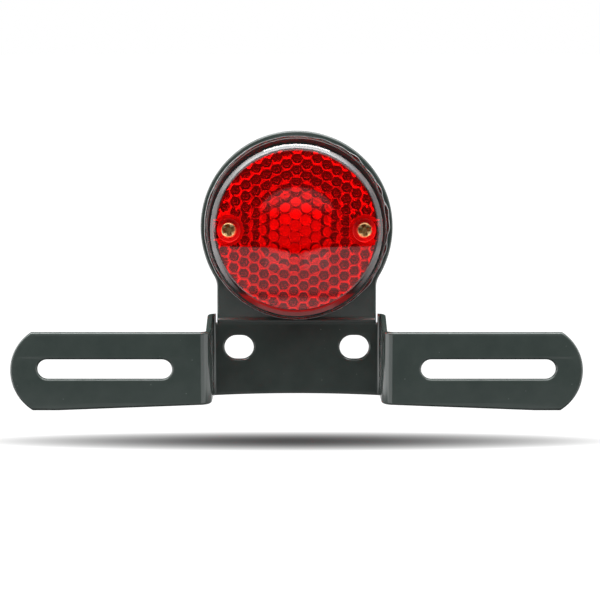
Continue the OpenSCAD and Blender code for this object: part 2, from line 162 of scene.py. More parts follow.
def dress(obj, body, slot, *nodes):
    """Joins a piece to the frame: the body it rides on, and the nodes it stands for, which it hides. The finish it
    is given is not used.
    """
    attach(obj, body)
    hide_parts(*nodes)


def add_piece(name, verts, faces, body, slot, *nodes):
    """A piece of one finish, made from points in the lamp's frame and joined to the frame."""
    obj = make_object(name, verts, faces, [FINISHES[slot]])
    dress(obj, body, slot, *nodes)
    return obj


def revolve(profile, segments, wobble=None, offset=(0, 0)):
    """Points and faces of a closed profile of (radius, height), turned about an axis along the lamp's.

    The offset moves the axis aside. The wobble shifts each point, from its angle and place in the profile."""
    verts, faces = [], []
    count = len(profile)
    for i in range(segments):
        a = 2 * math.pi * i / segments
        for k, (r, z) in enumerate(profile):
            dr, dz = wobble(a, k) if wobble else (0, 0)
            verts.append((offset[0] + (r + dr) * math.cos(a), offset[1] + (r + dr) * math.sin(a), z + dz))
    for i in range(segments):
        j = (i + 1) % segments
        for k in range(count):
            n = (k + 1) % count
            faces.append((i * count + k, j * count + k, j * count + n, i * count + n))
    return verts, faces


def arc_points(cx, cy, r, a0, a1, steps):
    angles = [a0 + (a1 - a0) * i / steps for i in range(steps + 1)]
    return [(cx + r * math.cos(a), cy + r * math.sin(a)) for a in angles]


def circle_points(cx, cy, r, steps):
    return arc_points(cx, cy, r, 0, 2 * math.pi, steps)[:-1]


def round_corners(points, radius, steps=4):
    """A closed profile with each corner rounded by a quadratic curve, at most to near a side's middle."""
    share = 0.45
    out = []
    n = len(points)
    for i in range(n):
        p0, p1, p2 = (Vector(points[(i + d) % n]) for d in (-1, 0, 1))
        cut = min(radius, share * (p0 - p1).length, share * (p2 - p1).length)
        a = p1 + (p0 - p1).normalized() * cut
        b = p1 + (p2 - p1).normalized() * cut
        for s in range(steps + 1):
            t = s / steps
            out.append(tuple((1 - t) ** 2 * a + 2 * t * (1 - t) * p1 + t ** 2 * b))
    return out


def boolean(obj, other, operation):
    """Replaces the mesh of obj by its union with, or difference from, another object, which goes."""
    modifier = obj.modifiers.new("cut", "BOOLEAN")
    modifier.operation = operation
    modifier.object = other
    modifier.solver = "EXACT"
    mesh = evaluated_mesh(obj)
    obj.modifiers.remove(modifier)
    obj.data = mesh
    bpy.data.objects.remove(other)


# Material helpers
NOISE_ROUGHNESS = 0.55
NOISE_LOW, NOISE_HIGH = 0.3, 0.7
GRAIN_STRENGTH, GRAIN_DEPTH = 0.1, 0.00002


def new_material(name):
    material = bpy.data.materials.new(name)
    material.use_nodes = True
    shader = material.node_tree.nodes["Principled BSDF"]
    return material, material.node_tree, shader


def add_node(tree, kind, **values):
    """A new node, with values for its inputs or its settings."""
    node = tree.nodes.new(kind)
    for key, value in values.items():
        if key in node.inputs:
            node.inputs[key].default_value = value
        else:
            setattr(node, key, value)
    return node


def noise(tree, scale, detail=3.0):
    coords = add_node(tree, "ShaderNodeTexCoord")
    node = add_node(tree, "ShaderNodeTexNoise", Scale=scale, Detail=detail, Roughness=NOISE_ROUGHNESS)
    tree.links.new(coords.outputs["Object"], node.inputs["Vector"])
    return node.outputs["Fac"]


def ramp(tree, source, low, high, start=0.35, end=0.65):
    """A colour ramp from low to high, driven by a noise."""
    node = add_node(tree, "ShaderNodeValToRGB")
    node.color_ramp.elements[0].position = start
    node.color_ramp.elements[0].color = (*low, 1)
    node.color_ramp.elements[1].position = end
    node.color_ramp.elements[1].color = (*high, 1)
    tree.links.new(source, node.inputs["Fac"])
    return node.outputs["Color"]


def map_range(tree, source, start, end, low=0.0, high=1.0, kind="LINEAR"):
    """A number that goes from low to high while the source goes from start to end."""
    node = add_node(tree, "ShaderNodeMapRange", interpolation_type=kind)
    for name, value in (("From Min", start), ("From Max", end), ("To Min", low), ("To Max", high)):
        node.inputs[name].default_value = value
    tree.links.new(source, node.inputs["Value"])
    return node.outputs["Result"]


class Signal:
    """A number inside a shader, with which sums, products and steps are written as plain arithmetic."""

    def __init__(self, tree, socket):
        self.tree = tree
        self.socket = socket

    def apply(self, operation, *others):
        return math_node(self.tree, operation, self, *others)

    def __add__(self, other):
        return self.apply("ADD", other)

    def __sub__(self, other):
        return self.apply("SUBTRACT", other)

    def __rsub__(self, other):
        return math_node(self.tree, "SUBTRACT", other, self)

    def __mul__(self, other):
        return self.apply("MULTIPLY", other)

    def __truediv__(self, other):
        return self.apply("DIVIDE", other)

    def __pow__(self, other):
        return self.apply("POWER", other)

    def __neg__(self):
        return self.apply("MULTIPLY", -1)

    def __abs__(self):
        return self.apply("ABSOLUTE")

    def squared(self):
        return self.apply("MULTIPLY", self)

    def at_least(self, other):
        return self.apply("MAXIMUM", other)

    def at_most(self, other):
        return self.apply("MINIMUM", other)

    def step(self, start, end):
        """A smooth step from 0 at start to 1 at end."""
        return Signal(self.tree, map_range(self.tree, self.socket, start, end, kind="SMOOTHSTEP"))

    def feed(self, socket):
        self.tree.links.new(self.socket, socket)


def math_node(tree, operation, *values):
    """A math node fed by numbers or by other signals."""
    node = add_node(tree, "ShaderNodeMath", operation=operation)
    for socket, value in zip(node.inputs, values):
        if isinstance(value, Signal):
            value.feed(socket)
        else:
            socket.default_value = value
    return Signal(tree, node.outputs["Value"])


def coordinates(tree, space):
    """The three coordinates of a place on an object, or of a direction in the world."""
    coords = add_node(tree, "ShaderNodeTexCoord")
    axes = add_node(tree, "ShaderNodeSeparateXYZ")
    tree.links.new(coords.outputs[space], axes.inputs["Vector"])
    return [Signal(tree, socket) for socket in axes.outputs]


def ray_kinds(tree):
    """Signals that are 1 for camera rays, for glossy rays and for rays in glass, which are glossy too."""
    path = add_node(tree, "ShaderNodeLightPath")
    kinds = ("Is Camera Ray", "Is Glossy Ray", "Is Transmission Ray")
    return [Signal(tree, path.outputs[kind]) for kind in kinds]


def blend(tree, share, first, second):
    """A shader that goes from the first to the second shader as the share goes from 0 to 1."""
    mix = add_node(tree, "ShaderNodeMixShader")
    share.feed(mix.inputs["Fac"])
    tree.links.new(first, mix.inputs[1])
    tree.links.new(second, mix.inputs[2])
    return mix.outputs["Shader"]


def spread(tree, source, low, high):
    """A number between low and high, driven by a noise."""
    return map_range(tree, source, NOISE_LOW, NOISE_HIGH, low, high)


def bump(tree, source, strength, distance, normal=None):
    node = add_node(tree, "ShaderNodeBump", Strength=strength, Distance=distance)
    tree.links.new(source, node.inputs["Height"])
    if normal:
        tree.links.new(normal, node.inputs["Normal"])
    return node.outputs["Normal"]


def cover(tree, shader, colour, rough, normal=None):
    """Gives a shader its colour, roughness and relief."""
    for name, source in (("Base Color", colour), ("Roughness", rough), ("Normal", normal)):
        if source:
            tree.links.new(source, shader.inputs[name])


def surface(name, low, high, rough, metal, scale):
    """A plain material whose colour, roughness and relief vary with noise."""
    material, tree, shader = new_material(name)
    colour = ramp(tree, noise(tree, scale), low, high)
    gloss = spread(tree, noise(tree, scale * 0.4), *rough)
    grain = bump(tree, noise(tree, scale * 3), GRAIN_STRENGTH, GRAIN_DEPTH)
    cover(tree, shader, colour, gloss, grain)
    shader.inputs["Metallic"].default_value = metal
    return material


def black_paint():
    """Gloss black enamel: faint orange peel, slow waves of the sheet and a few dust specks."""
    material, tree, shader = new_material("black_paint")
    base = ramp(tree, noise(tree, 90, 4), (0.029, 0.040, 0.036), (0.036, 0.048, 0.0435))
    specks = add_node(tree, "ShaderNodeTexVoronoi", Scale=230.0)
    coords = add_node(tree, "ShaderNodeTexCoord")
    tree.links.new(coords.outputs["Object"], specks.inputs["Vector"])
    dust = ramp(tree, specks.outputs["Distance"], (0.05, 0.055, 0.052), (0, 0, 0), 0.03, 0.06)
    mix = add_node(tree, "ShaderNodeMix", data_type="RGBA", blend_type="ADD")
    mix.inputs["Factor"].default_value = 1.0
    tree.links.new(base, mix.inputs["A"])
    tree.links.new(dust, mix.inputs["B"])
    slow = bump(tree, noise(tree, 45, 2), 0.25, 0.0002)
    peel = bump(tree, noise(tree, 900, 2), 0.12, 0.00002, slow)
    cover(tree, shader, mix.outputs["Result"], spread(tree, noise(tree, 160), 0.09, 0.15), peel)
    shader.inputs["Specular IOR Level"].default_value = 0.45
    return material


def red_plastic(name, rough, clear):
    """Clear red plastic with slow flow marks."""
    material, tree, shader = new_material(name)
    red = ramp(tree, noise(tree, 60, 2), (1.0, 0.0, 0.0), (1.0, 0.003, 0.003))
    marks = bump(tree, noise(tree, 50, 1), 0.04, 0.0002)
    cover(tree, shader, red, spread(tree, noise(tree, 120), *rough), marks)
    shader.inputs["Transmission Weight"].default_value = clear
    shader.inputs["IOR"].default_value = 1.585
    return material


def milky_below_painted_glow(material, start, end, low):
    """Makes a clear plastic milky below, so that it shows brighter diffuse red there, a painted glow: its
    clearness is low at the start height over the lamp's middle, full at the end.
    """
    tree = material.node_tree
    clear = tree.nodes["Principled BSDF"].inputs["Transmission Weight"]
    _, _, z = coordinates(tree, "Object")
    from_z, to_z = lamp_at.z + start * MM, lamp_at.z + end * MM
    share = map_range(tree, z.socket, from_z, to_z, low, clear.default_value, "SMOOTHSTEP")
    tree.links.new(share, clear)
    return material


def clear_glass():
    material, tree, shader = new_material("clear_glass")
    pale = ramp(tree, noise(tree, 80), (0.95, 0.97, 0.97), (1, 1, 1))
    cover(tree, shader, pale, spread(tree, noise(tree, 300), 0.0, 0.03))
    shader.inputs["Transmission Weight"].default_value = 1.0
    shader.inputs["IOR"].default_value = 1.5
    return material


def frosted_glass():
    """White frosted bulb glass, which mostly scatters the light that falls on it."""
    material, tree, shader = new_material("frosted_glass")
    white = ramp(tree, noise(tree, 80), (0.90, 0.90, 0.88), (0.96, 0.96, 0.95))
    cover(tree, shader, white, spread(tree, noise(tree, 300), 0.35, 0.5))
    shader.inputs["Transmission Weight"].default_value = 0.2
    return material


# Plain finishes: darker and lighter colour, range of roughness, share of metal, scale of the grain
SURFACES = {
    "black_rubber": ((0.014, 0.014, 0.014), (0.028, 0.028, 0.027), (0.24, 0.38), 0.0, 700),
    # Lighter grey for the crest of the gasket's bead: a painted highlight
    "rubber_bead_painted_highlight": ((0.15, 0.16, 0.16), (0.30, 0.31, 0.31), (0.2, 0.4), 0.0, 900),
    "yellow_zinc": ((0.78, 0.50, 0.20), (0.88, 0.66, 0.34), (0.18, 0.36), 1.0, 900),
    # Darker brown for inside the screws' cross recess: painted shade
    "yellow_zinc_recess_painted_shade": ((0.20, 0.12, 0.04), (0.40, 0.26, 0.10), (0.4, 0.6), 0.7, 900),
    "zinc": ((0.52, 0.52, 0.50), (0.66, 0.66, 0.64), (0.32, 0.5), 1.0, 600),
    "bright_zinc": ((0.78, 0.78, 0.76), (0.88, 0.88, 0.87), (0.25, 0.42), 1.0, 500),
    "fibre": ((0.17, 0.09, 0.05), (0.28, 0.16, 0.10), (0.6, 0.8), 0.0, 1200),
    "bakelite": ((0.26, 0.13, 0.06), (0.40, 0.22, 0.11), (0.4, 0.6), 0.0, 800),
    "brass": ((0.72, 0.52, 0.22), (0.85, 0.66, 0.34), (0.2, 0.38), 1.0, 700),
    "spring_steel": ((0.56, 0.56, 0.54), (0.72, 0.72, 0.70), (0.22, 0.4), 1.0, 900),
    "nickel": ((0.70, 0.67, 0.60), (0.82, 0.79, 0.72), (0.14, 0.3), 1.0, 500),
    "black_glass": ((0.012, 0.012, 0.016), (0.025, 0.025, 0.03), (0.08, 0.2), 0.0, 500),
    "solder": ((0.5, 0.5, 0.5), (0.7, 0.7, 0.7), (0.3, 0.5), 1.0, 900),
    "filament_metal": ((0.3, 0.3, 0.32), (0.5, 0.5, 0.52), (0.3, 0.5), 1.0, 900),
}
FINISHES = {name: surface(name, *values) for name, values in SURFACES.items()}
FINISHES["black_paint"] = black_paint()
FINISHES["clear_glass"] = clear_glass()
FINISHES["frosted_glass"] = frosted_glass()

# Red plastic of the lens's zones: range of roughness, clearness, and where it turns milky below, which paints a
# glow on the lower part of the lens
RED = red_plastic("red_lens", (0.0, 0.03), 0.97)
RED_WALL = red_plastic("red_lens_wall", (0.02, 0.08), 1.0)
# Matte, nearly opaque red for the screw bosses: a painted glow for light scattered in the clear bosses
RED_BOSS_PAINTED_GLOW = red_plastic("red_lens_boss_painted_glow", (0.3, 0.5), 0.05)
# The rim's lower edge and the grooves' lower half turn milky: a painted glow, brighter red low on the lens
RED_RIM = milky_below_painted_glow(red_plastic("red_lens_rim", (0.02, 0.06), 1.0), -21.1, -19.1, 0.5)
RED_GROOVE = milky_below_painted_glow(red_plastic("red_lens_groove", (0.0, 0.1), 0.99), -10, 6, 0.55)
# Milky, rougher red for the arcs on each cell's inward side: painted highlights that stand for light bent at the
# cells' edges
RED_PAINTED_ARC = milky_below_painted_glow(red_plastic("red_lens_painted_arc", (0.2, 0.4), 0.45), -10, 6, 0.10)
FINISHES["red_lens"] = RED
for part in frame["record"]["subparts"]:
    node_mesh = frame["nodes"][part["node"]].data
    node_mesh.materials.clear()
    node_mesh.materials.append(FINISHES[part["material_slot"]])


# Bracket: one flat sheet with rolled edges, cut through at its bends and then bent
MID_A, MID_B = BEND_R + SHEET / 2, WING_BEND_R + SHEET / 2
BEND_ANGLE = math.pi / 2 - WEB_SLANT
BEND_PAIR = BEND_R + SHEET + WING_BEND_R
WEB_L = (JOGGLE - BEND_PAIR + BEND_PAIR * math.sin(WEB_SLANT)) / math.cos(WEB_SLANT)
BEND_A = Vector((PLATE_HALF, SHEET + BEND_R))
BEND_B = Vector((PLATE_HALF + BEND_PAIR * math.cos(WEB_SLANT) + WEB_L * math.sin(WEB_SLANT),
                 JOGGLE - WING_BEND_R))
FOLD_MID = FOLD_R + SHEET / 2
FOLD_L = FOLD_MID * LEAN
DISC_Y = FOLD_H + FOLD_L + LAMP_RISE

# Places along the flat strip from the middle: end of the first bend, start and end of the second
S1 = PLATE_HALF + MID_A * BEND_ANGLE
S2 = S1 + WEB_L
S3 = S2 + MID_B * BEND_ANGLE
WING_SHIFT = S3 - BEND_B.x

# Where the sheet is cut: heights from the start of the fold, and the bends with their number of steps
FOLD_CUTS = (-1.2, -0.8, -0.5, -0.3, -0.15, 0, FOLD_L / 2, FOLD_L, 0.45, 0.65, 0.9, 1.3)
BEND_CUTS = ((PLATE_HALF, S1, 8), (S2, S3, 12))
MERGE = 0.0005


def flat_outline():
    """Right half of the flat sheet's outline, from the bottom middle round to the top of the disc."""
    tip_x = HALF_W - TIP_R + WING_SHIFT
    tip_y = (WING_TOP - WING_TIP_DROP) / 2
    tip_half = (WING_TOP + WING_TIP_DROP) / 2
    tip_a = math.asin(tip_half / TIP_R)
    arch_r = (PLATE_HALF ** 2 + PLATE_ARCH ** 2) / (2 * PLATE_ARCH)
    arch_a = math.asin(PLATE_HALF / arch_r)
    fillet_x = NECK_R + NECK_FILLET
    fillet_y = -math.sqrt((DISC_R + NECK_FILLET) ** 2 - fillet_x ** 2)
    fillet_a = math.atan2(-fillet_y, -fillet_x)
    points = arc_points(0, PLATE_ARCH - PLATE_DROP - arch_r, arch_r, math.pi / 2, math.pi / 2 - arch_a, 12)
    points += [(S3, -WING_ROOT_DROP), (tip_x, -WING_TIP_DROP)]
    points += arc_points(tip_x, tip_y, TIP_R, -tip_a, tip_a, 28)
    points += [(S3, WING_TOP), (S2, WING_TOP), (S1, WEB_TOP), (NECK_R + RELIEF_W, WEB_TOP)]
    points += [(NECK_R + RELIEF_W, FOLD_H - RELIEF_DROP), (NECK_R, FOLD_H - RELIEF_DROP)]
    points += arc_points(fillet_x, DISC_Y + fillet_y, NECK_FILLET, math.pi, fillet_a, 10)
    points += arc_points(0, DISC_Y, DISC_R, fillet_a - math.pi, math.pi / 2, 72)[1:]
    return points


def oblong(cx, cy, length, width, steps=16):
    half = (length - width) / 2
    return (arc_points(cx + half, cy, width / 2, -math.pi / 2, math.pi / 2, steps)
            + arc_points(cx - half, cy, width / 2, math.pi / 2, 1.5 * math.pi, steps))


def flat_loops():
    """Outline and holes of the flat sheet, as closed loops of points."""
    right = flat_outline()
    loops = [right + [(-x, y) for x, y in reversed(right[1:-1])]]
    slot_in = BEND_B.x + SLOT_ROOT
    slot_out = HALF_W - SLOT_TIP
    slot_x = (slot_in + slot_out) / 2 + WING_SHIFT
    for side in SIDES:
        loops.append(oblong(side * HOLE_X, 0, HOLE_L, HOLE_W))
        loops.append(oblong(side * slot_x, -SLOT_DROP, slot_out - slot_in, SLOT_W))
    loops.append(circle_points(0, DISC_Y, SOCKET_HOLE_R, 64))
    for side in SIDES:
        loops.append(circle_points(side * SCREW_REACH, DISC_Y, HOLE_R, 32))
    return loops


def flat_sheet():
    """The flat sheet as a filled curve with rolled edges, turned into a mesh in millimetres."""
    curve = bpy.data.curves.new("flat_sheet", "CURVE")
    curve.dimensions = "2D"
    curve.fill_mode = "BOTH"
    curve.extrude = SHEET / 2 - EDGE_ROLL
    curve.bevel_depth = EDGE_ROLL
    curve.bevel_resolution = 3
    curve.offset = -EDGE_ROLL
    for loop in flat_loops():
        spline = curve.splines.new("POLY")
        spline.points.add(len(loop) - 1)
        for point, (x, y) in zip(spline.points, loop):
            point.co = (x, y, 0, 1)
        spline.use_cyclic_u = True
    holder = new_object("flat_sheet", curve)
    mesh = evaluated_mesh(holder)
    bpy.data.objects.remove(holder)
    return mesh


def bend_point(s, y, t):
    """Where a point of the flat sheet goes: s along the strip, y up, t through the sheet to the front.

    The front of the sheet has a raised crease along the start of the fold."""
    side = -1 if s < 0 else 1
    s = abs(s)
    crease = CREASE_H * math.exp(-((y - FOLD_H) / CREASE_W) ** 2) if t > 0 else 0
    on_web = s > NECK_R + RELIEF_W / 2 and y < WEB_TOP + 1
    if y > FOLD_H and not on_web:
        a = min((y - FOLD_H) / FOLD_MID, LEAN)
        on = max(0, y - FOLD_H - FOLD_L)
        r = FOLD_MID + t + crease
        depth = -FOLD_R + r * math.cos(a) - on * math.sin(LEAN)
        return side * s, -depth, FOLD_H + r * math.sin(a) + on * math.cos(LEAN)
    if s <= PLATE_HALF:
        return side * s, -(SHEET / 2 + t + crease), y
    if s <= S1:
        a = -math.pi / 2 + (s - PLATE_HALF) / MID_A
        x, depth = BEND_A + (MID_A - t) * Vector((math.cos(a), math.sin(a)))
    elif s <= S2:
        normal = Vector((-math.cos(WEB_SLANT), math.sin(WEB_SLANT)))
        along = Vector((math.sin(WEB_SLANT), math.cos(WEB_SLANT)))
        x, depth = BEND_A - (MID_A - t) * normal + (s - S1) * along
    elif s <= S3:
        a = math.pi - WEB_SLANT - (s - S2) / MID_B
        x, depth = BEND_B + (MID_B + t) * Vector((math.cos(a), math.sin(a)))
    else:
        x, depth = s - WING_SHIFT, BEND_B.y + MID_B + t
    return side * x, -depth, y


def bracket():
    mesh = flat_sheet()
    bm = bmesh.new()
    bm.from_mesh(mesh)
    bmesh.ops.remove_doubles(bm, verts=bm.verts, dist=MERGE)
    cuts = [(Vector((0, FOLD_H + d, 0)), Vector((0, 1, 0))) for d in FOLD_CUTS]
    for start, end, steps in BEND_CUTS:
        for i in range(steps + 1):
            for side in SIDES:
                cuts.append((Vector((side * (start + (end - start) * i / steps), 0, 0)), Vector((1, 0, 0))))
    for point, normal in cuts:
        geometry = bm.verts[:] + bm.edges[:] + bm.faces[:]
        bmesh.ops.bisect_plane(bm, geom=geometry, dist=MERGE, plane_co=point, plane_no=normal)
    for vert in bm.verts:
        vert.co = Vector(bend_point(*vert.co)) * MM
    bm.to_mesh(mesh)
    bm.free()
    obj = finish_mesh("bracket_sheet", mesh, [FINISHES["black_paint"]], 32)
    weighted = obj.modifiers.new("even_shading", "WEIGHTED_NORMAL")
    weighted.keep_sharp = True
    dress(obj, "mounting", "black_paint", "bracket")


# Lens: finishes of its zones, and the sizes that bound the zones
LENS_FINISHES = (RED, RED_WALL, RED_BOSS_PAINTED_GLOW, RED_RIM, RED_GROOVE, RED_PAINTED_ARC)
LENS_SHARP_DEG = 25
EASE = 0.1
WALL_DROP, RIM_DROP, RIM_FACING = 2.5, 4.5, 0.4
PILLOW_DEPTH, TOP_CLEAR, GROOVE_FROM = 1.2, 1.5, 0.80
# Bounds of the painted highlight arcs: their width at a cell's edge, and how far round towards the axis they reach
ARC_W, ARC_INWARD, ARC_SPREAD = 0.35, 1.25, 1.3

# Fineness of the lens: points per cell edge, rings in a cell, points round the border, rings of the dome
CELL_EDGE_STEPS, CELL_RINGS = 3, (0.93, 0.84, 0.72, 0.5, 0.25)
BORDER_STEPS, BORDER_CLEAR, BORDER_EASE = 240, 0.15, 0.005
CELL_MERGE = 0.001
DOME_RINGS = (0.97, 0.85, 0.7, 0.55, 0.4, 0.25, 0.1)


def dome_z(r, back=0.0):
    """Height of the lens's front at a radius, or of the dome that lies further back."""
    return CROWN_Z - DOME_R + math.sqrt((DOME_R - back) ** 2 - r * r)


def cell_centres(reach):
    """Centres of the honeycomb's cells that lie within reach of the axis, with one ring to spare."""
    turn = Matrix.Rotation(CELL_TURN, 2)
    columns = int(reach / CELL_X) + 3
    rows = int(reach / CELL_Y) + 3
    for i in range(-columns, columns + 1):
        for k in range(-rows, rows + 1):
            at = Vector((i * CELL_X, (k + 0.5 * (i % 2)) * CELL_Y)) + Vector(CELL_PHASE)
            at = turn @ at
            if at.length < reach + CELL_Y:
                yield at


def cell_corners():
    """Corners of one cell, as offsets from its centre: the points as far from it as from two neighbours."""
    turn = Matrix.Rotation(CELL_TURN, 2)
    half = CELL_Y / 2
    tip = (CELL_X ** 2 + half ** 2) / (2 * CELL_X)
    inner = CELL_X - tip
    flat = [(tip, 0), (inner, half), (-inner, half), (-tip, 0), (-inner, -half), (inner, -half)]
    return [turn @ Vector(p) for p in flat]


def cell_share(offset):
    """How far from its cell's centre a point lies: 0 at the centre, 1 on the cell's edge."""
    turn = Matrix.Rotation(CELL_TURN, 2)
    across = [turn @ Vector(v) for v in ((0, CELL_Y), (CELL_X, CELL_Y / 2), (CELL_X, -CELL_Y / 2))]
    return max(abs(offset.dot(v)) / (v.length_squared / 2) for v in across)


def cell_finder(centres):
    """A tree that finds the honeycomb cell nearest to a point."""
    tree = kdtree.KDTree(len(centres))
    for i, centre in enumerate(centres):
        tree.insert((centre.x, centre.y, 0), i)
    tree.balance()
    return tree


def loop_edges(first, count):
    return [(first + i, first + (i + 1) % count) for i in range(count)]


def plate_points(centres, radius):
    """Points of the honeycomb plate inside a radius, with its border, and the edges that the mesh keeps."""
    corners = cell_corners()
    outline = []
    for i, corner in enumerate(corners):
        following = corners[(i + 1) % len(corners)]
        outline += [corner.lerp(following, k / CELL_EDGE_STEPS) for k in range(CELL_EDGE_STEPS)]
    points, edges = [], []
    for centre in centres:
        edges += loop_edges(len(points), len(outline))
        points += [centre + p for p in outline]
        for share in CELL_RINGS:
            points += [centre + p * share for p in outline[::(1 if share > 0.5 else 2)]]
        points.append(centre)
    inside = [p.length < radius - BORDER_CLEAR for p in points] + [True] * BORDER_STEPS
    edges += loop_edges(len(points), BORDER_STEPS)
    points += [Vector(p) for p in circle_points(0, 0, radius, BORDER_STEPS)]
    kept = [i for i in range(len(points)) if inside[i]]
    place = {i: k for k, i in enumerate(kept)}
    kept_edges = [(place[a], place[b]) for a, b in edges if a in place and b in place]
    return [points[i] for i in kept], kept_edges


def pillow_plate(radius):
    """Points, heights and triangles of the lens's inner face, which has one pillow per honeycomb cell."""
    corner_r = max(corner.length for corner in cell_corners())
    foot = math.sqrt(PILLOW_R ** 2 - corner_r ** 2)
    centres = list(cell_centres(radius))
    points, edges = plate_points(centres, radius)
    flat, _, triangles, _, _, _ = delaunay_2d_cdt(points, edges, [], 0, CELL_MERGE)
    finder = cell_finder(centres)
    heights = []
    for p in flat:
        near = finder.find((p.x, p.y, 0))[2]
        heights.append(math.sqrt(max(PILLOW_R ** 2 - near ** 2, foot ** 2)) - foot)
    return flat, heights, triangles


def lens_profile():
    """Rings (radius, height) of the lens's surface from the inner face, round the foot, to the crown."""
    inner_r, land_z = BASE_R - LENS_WALL, GASKET_T + LENS_LAND
    kink = (OPTICS_R + KINK_SHARE * (BASE_R - RIM_R), land_z + KINK_RISE)
    wall = [kink, (inner_r, land_z), (inner_r, GASKET_T)]
    rim_z = dome_z(RIM_R - BEVEL_W)
    bevel = [(RIM_R, rim_z - BEVEL_H), (RIM_R - CREST_IN, rim_z - CREST_DOWN), (RIM_R - BEVEL_W, rim_z)]
    front_r = RIM_R - 2 * BEVEL_W
    foot = [(inner_r, GASKET_T), (BASE_R, GASKET_T), (BASE_R, land_z)]
    outside = round_corners(foot + bevel + [(front_r, dome_z(front_r))], BEVEL_ROUND)[5:-5]
    dome_from = outside[-1][0]
    dome = [(dome_from * share, dome_z(dome_from * share)) for share in DOME_RINGS]
    return wall + outside + dome


def lens_shell():
    """The lens without its posts: outside turned, inside a honeycomb plate and a plain wall."""
    flat, heights, triangles = pillow_plate(OPTICS_R)
    verts = [(p.x, p.y, dome_z(p.length, LENS_WALL) - h) for p, h in zip(flat, heights)]
    faces = [tuple(t) for t in triangles]
    last = [i for i, p in enumerate(flat) if p.length > OPTICS_R - BORDER_EASE]
    last.sort(key=lambda i: math.atan2(flat[i].y, flat[i].x))
    angles = [math.atan2(flat[i].y, flat[i].x) for i in last]
    count = len(last)
    for r, z in lens_profile():
        first = len(verts)
        verts += [(r * math.cos(a), r * math.sin(a), z) for a in angles]
        ring = list(range(first, first + count))
        faces += [(last[i], last[(i + 1) % count], ring[(i + 1) % count], ring[i]) for i in range(count)]
        last = ring
    verts.append((0, 0, CROWN_Z))
    faces += [(last[i], last[(i + 1) % count], len(verts) - 1) for i in range(count)]
    return make_object("red_lens", verts, faces, [], LENS_SHARP_DEG)


def post(side):
    """A screw post with the boss that carries its pocket, as one turned solid that ends inside the dome."""
    segments = 72
    profile = [(ON_AXIS, POST_GAP), (POCKET_R, POST_GAP), (POCKET_R, BOSS_Z), (BOSS_R, BOSS_Z)]
    verts, faces = [], []
    for i in range(segments):
        a = 2 * math.pi * i / segments
        for r, z in profile:
            verts.append((side * SCREW_REACH + r * math.cos(a), r * math.sin(a), z))
        for r in (BOSS_R, ON_AXIS):
            x, y = side * SCREW_REACH + r * math.cos(a), r * math.sin(a)
            verts.append((x, y, dome_z(math.hypot(x, y)) - POST_SUNK))
    count = len(profile) + 2
    for i in range(segments):
        j = (i + 1) % segments
        for k in range(count - 1):
            faces.append((i * count + k, j * count + k, j * count + k + 1, i * count + k + 1))
    faces.append(tuple(i * count for i in reversed(range(segments))))
    faces.append(tuple(i * count + count - 1 for i in range(segments)))
    return make_object("post", verts, faces, [])


def pocket(side):
    """The space of a screw: its pocket, which widens a little at the front, and the hole down the post."""
    low, high = -CUT_PAST, CROWN_Z + CUT_PAST
    profile = [(ON_AXIS, low), (HOLE_R, low), (HOLE_R, POCKET_Z), (POCKET_R, POCKET_Z),
               (POCKET_R, CROWN_Z - POCKET_FLARE_DROP), (POCKET_R + POCKET_FLARE, high), (ON_AXIS, high)]
    verts, faces = revolve(profile, 72, None, (side * SCREW_REACH, 0))
    return make_object("pocket", verts, faces, [])


def lens_finish(centre, normal, finder):
    """The finish of a face of the lens, by its centre and normal in the lamp's frame.

    Grooves start near a cell's edge. Arcs, a painted highlight of milky red plastic, lie on its side towards the
    axis, and grow with its distance."""
    out = Vector((centre.x, centre.y, 0))
    reach = out.length
    from_screw = math.hypot(abs(centre.x) - SCREW_REACH, centre.y)
    by_boss = from_screw < BOSS_R + EASE and reach < OPTICS_R - 2 * EASE
    # Boss faces take the matte red of the painted glow
    if by_boss and BOSS_Z - EASE < centre.z < dome_z(reach) - 3 * EASE:
        return RED_BOSS_PAINTED_GLOW
    if reach > RIM_R - BEVEL_W and centre.z > CROWN_Z - RIM_DROP and normal.z > RIM_FACING:
        return RED_RIM
    if reach > OPTICS_R + EASE and centre.z < CROWN_Z - WALL_DROP:
        return RED_WALL
    plain_from = OPTICS_R - TOP_CLEAR * max(0, out.normalized().y) ** 2
    depth = dome_z(reach, LENS_WALL) - centre.z
    if reach >= plain_from or not 0 <= depth < PILLOW_DEPTH:
        return RED
    cell = finder.find(out)[0]
    cell_reach = min(1, cell.length / RIM_R)
    edge = cell_share((out - cell).to_2d())
    inward = (cell - out).normalized().dot(cell.normalized())
    # Faces near the cell's edge on its side towards the axis take the painted highlight arc
    if edge > 1 - ARC_W * cell_reach ** 2 and inward > ARC_INWARD - ARC_SPREAD * cell_reach:
        return RED_PAINTED_ARC
    return RED_GROOVE if edge > GROOVE_FROM else RED


def lens():
    obj = lens_shell()
    for side in SIDES:
        boolean(obj, post(side), "UNION")
    for side in SIDES:
        boolean(obj, pocket(side), "DIFFERENCE")
    mesh = obj.data
    mesh.materials.clear()
    for material in LENS_FINISHES:
        mesh.materials.append(material)
    mesh.shade_smooth()
    mesh.set_sharp_from_angle(angle=math.radians(LENS_SHARP_DEG))
    finder = cell_finder(list(cell_centres(RIM_R)))
    for face in mesh.polygons:
        finish = lens_finish(TO_LAMP @ face.center / MM, TO_LAMP.to_3x3() @ face.normal, finder)
        face.material_index = LENS_FINISHES.index(finish)
    dress(obj, "lens_cap", "red_lens", "lens")


